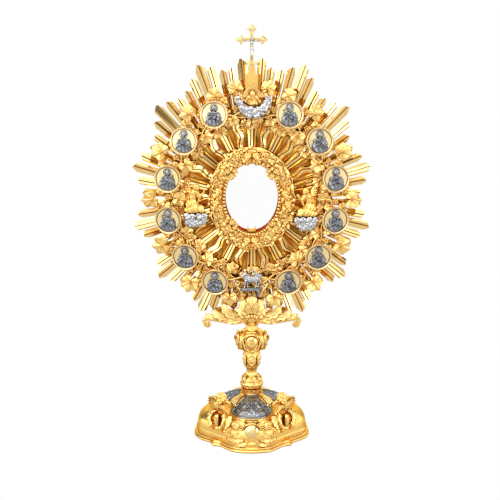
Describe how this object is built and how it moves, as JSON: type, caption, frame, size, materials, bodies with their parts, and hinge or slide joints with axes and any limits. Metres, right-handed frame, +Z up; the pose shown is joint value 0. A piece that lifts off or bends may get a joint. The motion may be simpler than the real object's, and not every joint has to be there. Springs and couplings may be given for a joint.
{
  "type": "monstrance",
  "caption": "Standing sunburst monstrance with lobed foot, knopped stem, medallion glory and an oval glazed host chamber with hinged rear door.",
  "frame": {"origin": "bottom centre of the foot, on the axis of the stem, at the plane the foot stands on", "axes": "+Z up along the stem, -Y towards the front (the side with the medallions), +X to the viewer's right"},
  "size_m": [0.4406, 0.2226, 0.78],
  "materials": {
    "polished_gold": "polished gold plate on brass castings",
    "satin_gold": "satin gold plate, finely brushed",
    "silver": "bright silver plate on castings",
    "dark_silver": "oxidised silver plate on castings",
    "brass_fittings": "plain turned brass",
    "clear_glass": "clear polished flat glass"
  },
  "bodies": {
    "stand_and_glory": {"foot_rim": "satin_gold", "foot_shell": "satin_gold", "relief_plaque_front": "dark_silver", "relief_plaque_right": "dark_silver", "relief_plaque_back": "dark_silver", "relief_plaque_left": "dark_silver", "rib_frame": "polished_gold", "cherub_front_right": "polished_gold", "scroll_back_right": "polished_gold", "scroll_back_left": "polished_gold", "cherub_front_left": "polished_gold", "cartouche_front": "polished_gold", "cartouche_back": "polished_gold", "tie_rod": "brass_fittings", "base_nut": "brass_fittings", "gallery_collar": "polished_gold", "lower_knop": "polished_gold", "stem_neck": "polished_gold", "stem_vase": "polished_gold", "stem_node": "polished_gold", "stem_upper_neck": "polished_gold", "leaf_bracket": "polished_gold", "palmette_leaf": "satin_gold", "glory_plate": "satin_gold", "ray_burst_upper_right": "polished_gold", "ray_burst_lower_right": "polished_gold", "ray_burst_lower_left": "polished_gold", "ray_burst_upper_left": "polished_gold", "inner_rays": "polished_gold", "vine_wreath": "satin_gold", "medallion_01": "dark_silver", "medallion_02": "dark_silver", "medallion_03": "dark_silver", "medallion_04": "dark_silver", "medallion_05": "dark_silver", "medallion_06": "dark_silver", "medallion_07": "dark_silver", "medallion_08": "dark_silver", "medallion_09": "dark_silver", "medallion_10": "dark_silver", "medallion_11": "dark_silver", "medallion_12": "dark_silver", "cherub_wreath": "polished_gold", "angel_left": "polished_gold", "angel_cloud_left": "silver", "angel_right": "polished_gold", "angel_cloud_right": "silver", "cloud_crescent": "silver", "eternal_father": "polished_gold", "cross_stand": "polished_gold", "crucifix_cross": "polished_gold", "corpus": "silver", "lamb": "silver", "host_case": "polished_gold", "front_glass": "clear_glass", "lunette_rail": "brass_fittings", "hinge_pin": "brass_fittings"},
    "rear_door": {"door_frame": "polished_gold", "door_glass": "clear_glass"},
    "door_latch": {"latch_button": "brass_fittings"}
  },
  "joints": [
    {"name": "door_hinge", "type": "hinge", "parent": "stand_and_glory", "child": "rear_door", "pos_m": [0.0575, 0.0302, 0.462], "axis": [0, 0, -1], "range_deg": [0, 110]},
    {"name": "latch_turn", "type": "hinge", "parent": "stand_and_glory", "child": "door_latch", "pos_m": [-0.0595, 0.0348, 0.462], "axis": [0, 1, 0], "range_deg": [0, 90]}
  ]
}
